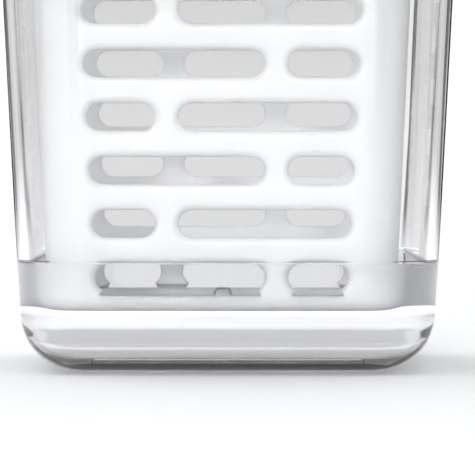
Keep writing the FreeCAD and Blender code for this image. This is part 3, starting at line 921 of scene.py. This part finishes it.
def leaning_block(side, reach, levels, depths):
    """A block that leans with a side wall: its reach out from the wall, its levels and its depths in Y."""
    near, far = reach
    low, high = levels
    corners = []
    for y in depths:
        for level, out in ((low, near), (low, far), (high, far), (high, near)):
            corners.append((side * (BASKET_FLAT + basket_radius(level) + out), y, level))
    return corners


def hinge_levels(level, place):
    """Where a knuckle of the hinge at a level starts and ends."""
    middle = level + place * (KNUCKLE_HEIGHT + KNUCKLE_GAP)
    return middle - KNUCKLE_HEIGHT / 2, middle + KNUCKLE_HEIGHT / 2


def catch_span(level, margin=0.0):
    """Where a catch, or the flange that carries it, starts and ends in height."""
    half = CATCH_HEIGHT / 2 + margin
    return level - half, level + half


def make_flanges(label, side, turned):
    """The short flanges that the catches hold together."""
    reach = (-BASKET_WALL / 2, FLANGE_DEPTH)
    depths = (-SEAM - FLANGE_THICKNESS, -SEAM)
    blocks = [leaning_block(side, reach, catch_span(level, FLANGE_MARGIN), depths) for level in CATCH_LEVELS]
    piece = block_mesh(f"{label}_flanges", blocks, turned=turned, shift=BASKET_SHIFT)
    dress(piece, "basket", white_detail, "white_plastic")


def add_knuckle(surface, side, radius, levels):
    """A round knuckle or pin on the hinge's axis, which leans with the side wall."""
    axis = []
    for level in levels:
        x = side * (BASKET_FLAT + basket_radius(level) + KNUCKLE_RADIUS + 2 * SEAM)
        axis.append(Vector((x, 0, level)))
    along = (axis[1] - axis[0]).normalized()
    across = Vector((0, 1, 0))
    third = along.cross(across)
    edge = radius * KNUCKLE_EDGE_SHARE
    length = (axis[1] - axis[0]).length
    stations = [
        (0.0, radius - edge, -1.0),
        (edge, radius, 0.0),
        (length - edge, radius, 0.0),
        (length, radius - edge, 1.0),
    ]
    rows = []
    for place, size, lift in stations:
        row = []
        for step in range(KNUCKLE_STEPS):
            angle = 4 * QUARTER * step / KNUCKLE_STEPS
            spoke = across * math.cos(angle) + third * math.sin(angle)
            row.append(surface.add(axis[0] + along * place + spoke * size, spoke + along * lift))
        rows.append(row)
    for first, second in zip(rows, rows[1:]):
        surface.strip(first, second, closed=True)
    for row, end, sign in ((rows[0], axis[0], -1), (rows[-1], axis[1], 1)):
        cap = [surface.add(surface.points[i].copy(), along * sign) for i in row]
        surface.fan(cap, end, along * sign)


def make_hinge(label, hinge_side, carries_pins, turned):
    """Knuckles with their webs, and the pins on the half that has them."""
    surface = Surface()
    blocks = []
    places = [0] if carries_pins else [-1, 1]
    for level in HINGE_LEVELS:
        for place in places:
            span = hinge_levels(level, place)
            add_knuckle(surface, hinge_side, KNUCKLE_RADIUS, span)
            reach = (-BASKET_WALL / 2, KNUCKLE_RADIUS)
            blocks.append(leaning_block(hinge_side, reach, span, (-KNUCKLE_RADIUS, -SEAM)))
        if carries_pins:
            ends = hinge_levels(level, -1)[0] - PIN_REACH, hinge_levels(level, 1)[1] + PIN_REACH
            add_knuckle(surface, hinge_side, PIN_RADIUS, ends)
    knuckles = surface.make(f"{label}_knuckles", turned, BASKET_SHIFT)
    dress(knuckles, "basket", white_detail, "white_plastic")
    webs = block_mesh(f"{label}_hinge_webs", blocks, WEB_EDGE, turned, BASKET_SHIFT)
    dress(webs, "basket", white_detail, "white_plastic")


def make_catches(label, side):
    """Hooks that reach round the other half's flange."""
    out = FLANGE_DEPTH + CATCH_CLEARANCE
    outer = out + CATCH_THICKNESS
    front = -SEAM - FLANGE_THICKNESS
    behind = SEAM + FLANGE_THICKNESS + CATCH_CLEARANCE
    far = behind + CATCH_THICKNESS
    blocks = []
    for level in CATCH_LEVELS:
        span = catch_span(level)
        blocks.append(leaning_block(side, (FLANGE_DEPTH / 2, outer), span, (front, -SEAM)))
        blocks.append(leaning_block(side, (out, outer), span, (front, far)))
        blocks.append(leaning_block(side, (FLANGE_DEPTH - CATCH_LIP, outer), span, (behind, far)))
    piece = block_mesh(f"{label}_catches", blocks, CATCH_EDGE, shift=BASKET_SHIFT)
    dress(piece, "basket", white_detail, "white_plastic")


def make_tongue(label):
    """The tongue that stands on the front half's floor and reaches over the rear half's."""
    floor_top = BASKET_BOTTOM + BASKET_FLOOR
    base = TONGUE_WIDTH / 2
    top = TONGUE_TOP_WIDTH / 2
    high = floor_top + TONGUE_HEIGHT
    root = floor_top - TONGUE_ROOT, -SEAM
    reach = floor_top + TONGUE_CLEARANCE, TONGUE_REACH
    blocks = []
    for low, end in (root, reach):
        section = ((-base, low), (base, low), (top, high), (-top, high))
        blocks.append([(x, y, z) for y in (-TONGUE_REACH, end) for x, z in section])
    piece = block_mesh(f"{label}_tongue", blocks, TONGUE_EDGE, shift=BASKET_SHIFT)
    dress(piece, "basket", white_plastic, "white_plastic")


def make_basket():
    """Both halves. The rear one is made in front of the seam and turned, so its hinge side changes."""
    for label, rear in (("basket_front", False), ("basket_rear", True)):
        hinge_side = 1 if rear else -1
        make_basket_half(label, turned=rear)
        make_flanges(label, -hinge_side, turned=rear)
        make_hinge(label, hinge_side, carries_pins=rear, turned=rear)
    make_catches("basket_front", 1)
    make_tongue("basket_front")


# ------------------------------------------------------------------------ lid


def make_lid_cap():
    """The lid's outer shell, open below."""
    flat = CONTAINER_FLAT
    middle = flat + LID_CORNER
    low = cap_low.z
    top = cap_high.z - GRIP_HEIGHT
    ceiling = top - LID_WALL
    hollow = RIM_HALF - LID_WALL
    path = rounded_path([
        (middle, ceiling, 0, flat),
        (hollow, ceiling, CEILING_EDGE, flat),
        (hollow, low, SKIRT_EDGE, flat),
        (RIM_HALF, low, SKIRT_EDGE, flat),
        (RIM_HALF, top, LID_EDGE, flat),
        (middle, top, 0, flat),
    ])
    piece = swept_ring(path).make("lid_cap_shell")
    dress(piece, "lid", lid_plastic, "lid_plastic", "lid_cap")


def make_grip():
    """The bar on top of the lid, with well rounded edges."""
    top = cap_high.z
    low = top - GRIP_HEIGHT - LID_WALL / 2
    x = GRIP_LENGTH / 2
    y = GRIP_WIDTH / 2
    corners = [(*place, z) for z in (low, top) for place in ((-x, -y), (x, -y), (x, y), (-x, y))]
    piece = block_mesh("lid_grip", [corners], GRIP_EDGE, steps=GRIP_STEPS)
    dress(piece, "lid", lid_plastic, "lid_plastic")


def dress_node(name, material):
    """A CAD node that shows as it is, with its material and no changes to its shape."""
    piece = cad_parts[name]
    piece.data.materials.clear()
    piece.data.materials.append(material)


# ---------------------------------------------------------------------- water


def make_water():
    """The water that the keeper stands with, up to its fill line. It reaches a little into the wall."""
    flat = CONTAINER_FLAT
    middle = flat + WATER_CORNER
    sink = 0.15
    floor_half = container_half(CONTAINER_FLOOR) - CONTAINER_WALL + sink
    top_half = container_half(FILL_LEVEL) - CONTAINER_WALL + sink
    low = CONTAINER_FLOOR - sink
    path = rounded_path([
        (middle, low, 0, flat),
        (floor_half, low, CONTAINER_EDGE - CONTAINER_WALL + sink, flat),
        (top_half, FILL_LEVEL, 0, flat),
        (middle, FILL_LEVEL, 0, flat),
    ])
    water = swept_ring(path).make("water")
    water.data.materials.append(water_material)


# ------------------------------------------------------- floor, light and view


def calculate(nodes, links, operation, *values):
    """A maths node on sockets and plain numbers."""
    node = nodes.new("ShaderNodeMath")
    node.operation = operation
    for index, value in enumerate(values):
        if isinstance(value, (int, float)):
            node.inputs[index].default_value = value
        else:
            links.new(value, node.inputs[index])
    return node.outputs["Value"]


def view_rays(nodes, links):
    """1 for camera rays, and 1 for those that met only clear and glossy things on their way."""
    path = nodes.new("ShaderNodeLightPath")
    glossy = path.outputs["Is Glossy Ray"]
    refracted = path.outputs["Is Transmission Ray"]
    either = calculate(nodes, links, "MAXIMUM", glossy, refracted)
    no_matt_thing = calculate(nodes, links, "LESS_THAN", path.outputs["Diffuse Depth"], 0.5)
    return path.outputs["Is Camera Ray"], calculate(nodes, links, "MULTIPLY", either, no_matt_thing)


def studio_ring(nodes, links, vector):
    """How bright the studio is by direction: on each of four sides a screen with brighter edges, then a dark
    gap, and grey towards the corners. STUDIO_BANDS holds half of one side, and the other half mirrors it.
    """
    parts = nodes.new("ShaderNodeSeparateXYZ")
    links.new(vector, parts.inputs["Vector"])
    angle = calculate(nodes, links, "ARCTAN2", parts.outputs["X"], parts.outputs["Y"])
    turns = calculate(nodes, links, "DIVIDE", angle, QUARTER)
    # the half puts the middle of a side at half a turn, and the 8 keeps the sum above zero
    centred = calculate(nodes, links, "ADD", turns, 8 + 0.5)
    share = calculate(nodes, links, "FRACT", centred)
    offset = calculate(nodes, links, "SUBTRACT", share, 0.5)
    distance = calculate(nodes, links, "ABSOLUTE", offset)
    bands = nodes.new("ShaderNodeValToRGB")
    stops = [(degrees / SIDE_ANGLE, level) for degrees, level in STUDIO_BANDS]
    bands.color_ramp.elements[0].position, level = stops[0]
    bands.color_ramp.elements[0].color = (*grey(level), 1)
    bands.color_ramp.elements[1].position, level = stops[-1]
    bands.color_ramp.elements[1].color = (*grey(level), 1)
    for position, level in stops[1:-1]:
        stop = bands.color_ramp.elements.new(position)
        stop.color = (*grey(level), 1)
    links.new(distance, bands.inputs["Fac"])
    return bands.outputs["Color"]


def make_floor():
    """The pale floor, just below the object. Far out, clear and glossy things see the studio ring there."""
    mesh = bpy.data.meshes.new("floor")
    corners = [(x * FLOOR_HALF, y * FLOOR_HALF, -FLOOR_GAP) for x, y in ((-1, -1), (1, -1), (1, 1), (-1, 1))]
    mesh.from_pydata(corners, [], [(0, 1, 2, 3)])
    floor = bpy.data.objects.new("floor", mesh)
    bpy.context.scene.collection.objects.link(floor)
    material, nodes, links, shader = new_material("floor_white")
    direct, indirect = view_rays(nodes, links)
    seen = calculate(nodes, links, "MAXIMUM", direct, indirect)
    lit = nodes.new("ShaderNodeBsdfDiffuse")
    tone = ramp(nodes, links, seen, 0.0, 1.0, grey(FLOOR_OTHERWISE), grey(FLOOR_SEEN))
    links.new(tone, lit.inputs["Color"])
    lift = nodes.new("ShaderNodeEmission")
    links.new(calculate(nodes, links, "MULTIPLY", indirect, FLOOR_LIFT), lift.inputs["Strength"])
    near = nodes.new("ShaderNodeAddShader")
    links.new(lit.outputs["BSDF"], near.inputs[0])
    links.new(lift.outputs["Emission"], near.inputs[1])
    geometry = nodes.new("ShaderNodeNewGeometry")
    length = nodes.new("ShaderNodeVectorMath")
    length.operation = "LENGTH"
    links.new(geometry.outputs["Position"], length.inputs[0])
    fade = nodes.new("ShaderNodeMapRange")
    fade.inputs["From Min"].default_value = FLOOR_FADE_START
    fade.inputs["From Max"].default_value = FLOOR_FADE_END
    links.new(length.outputs["Value"], fade.inputs["Value"])
    far = nodes.new("ShaderNodeEmission")
    links.new(studio_ring(nodes, links, geometry.outputs["Position"]), far.inputs["Color"])
    mix = nodes.new("ShaderNodeMixShader")
    links.new(calculate(nodes, links, "MULTIPLY", fade.outputs["Result"], indirect), mix.inputs["Fac"])
    links.new(near.outputs["Shader"], mix.inputs[1])
    links.new(far.outputs["Emission"], mix.inputs[2])
    links.new(mix.outputs["Shader"], nodes["Material Output"].inputs["Surface"])
    nodes.remove(shader)
    mesh.materials.append(material)


def make_world():
    """A soft sky that lights the object, brightest at the rear left and overhead. The camera itself sees it
    plain white or brighter, and clear and glossy things see the studio ring instead.
    """
    world = bpy.data.worlds.new("studio")
    bpy.context.scene.world = world
    world.use_nodes = True
    nodes = world.node_tree.nodes
    links = world.node_tree.links
    direct, indirect = view_rays(nodes, links)
    sky = nodes["Background"]
    sky.inputs["Color"].default_value = (*SKY_COLOUR, 1)
    coordinates = nodes.new("ShaderNodeTexCoord")
    towards = nodes.new("ShaderNodeVectorMath")
    towards.operation = "DOT_PRODUCT"
    towards.inputs[1].default_value = SKY_SIDE
    links.new(coordinates.outputs["Generated"], towards.inputs[0])
    strength = nodes.new("ShaderNodeMapRange")
    strength.inputs["From Min"].default_value = -1.0
    strength.inputs["To Min"].default_value = SKY_DARKEST
    strength.inputs["To Max"].default_value = SKY_BRIGHTEST
    links.new(towards.outputs["Value"], strength.inputs["Value"])
    parts = nodes.new("ShaderNodeSeparateXYZ")
    links.new(coordinates.outputs["Generated"], parts.inputs["Vector"])
    overhead = nodes.new("ShaderNodeMapRange")
    overhead.inputs["From Max"].default_value = CEILING_START
    overhead.inputs["To Min"].default_value = 1.0
    overhead.inputs["To Max"].default_value = CEILING
    links.new(parts.outputs["Z"], overhead.inputs["Value"])
    level = calculate(nodes, links, "MULTIPLY", strength.outputs["Result"], overhead.outputs["Result"])
    links.new(calculate(nodes, links, "MAXIMUM", level, direct), sky.inputs["Strength"])
    ring = nodes.new("ShaderNodeBackground")
    links.new(studio_ring(nodes, links, coordinates.outputs["Generated"]), ring.inputs["Color"])
    mix = nodes.new("ShaderNodeMixShader")
    links.new(indirect, mix.inputs["Fac"])
    links.new(sky.outputs["Background"], mix.inputs[1])
    links.new(ring.outputs["Background"], mix.inputs[2])
    links.new(mix.outputs["Shader"], nodes["World Output"].inputs["Surface"])


def make_lamp():
    """A distant soft lamp in front of the object, low and a little to its left."""
    lamp = bpy.data.lights.new("key", "SUN")
    lamp.energy = LAMP_STRENGTH
    lamp.angle = math.radians(LAMP_SPREAD)
    thing = bpy.data.objects.new("key", lamp)
    bpy.context.scene.collection.objects.link(thing)
    thing.rotation_euler = (math.radians(90 - LAMP_ELEVATION), 0, -math.radians(LAMP_AZIMUTH))


def make_camera():
    """The photo's view: in front, a long lens, turned a little down and to the left."""
    lens = bpy.data.cameras.new("camera")
    lens.sensor_width = CAMERA_SENSOR
    lens.lens = CAMERA_LENS
    lens.clip_end = CAMERA_REACH
    camera = bpy.data.objects.new("camera", lens)
    bpy.context.scene.collection.objects.link(camera)
    camera.location = CAMERA_PLACE
    camera.rotation_euler = (math.radians(90 - CAMERA_DOWN), 0, math.radians(CAMERA_LEFT))
    bpy.context.scene.camera = camera


make_container()
make_basket()
make_lid_cap()
make_grip()
dress_node("lid_liner", lid_plastic)
dress_node("lid_seal", seal_silicone)
make_water()
make_floor()
make_world()
make_lamp()
make_camera()
bpy.context.scene.view_settings.view_transform = "Standard"
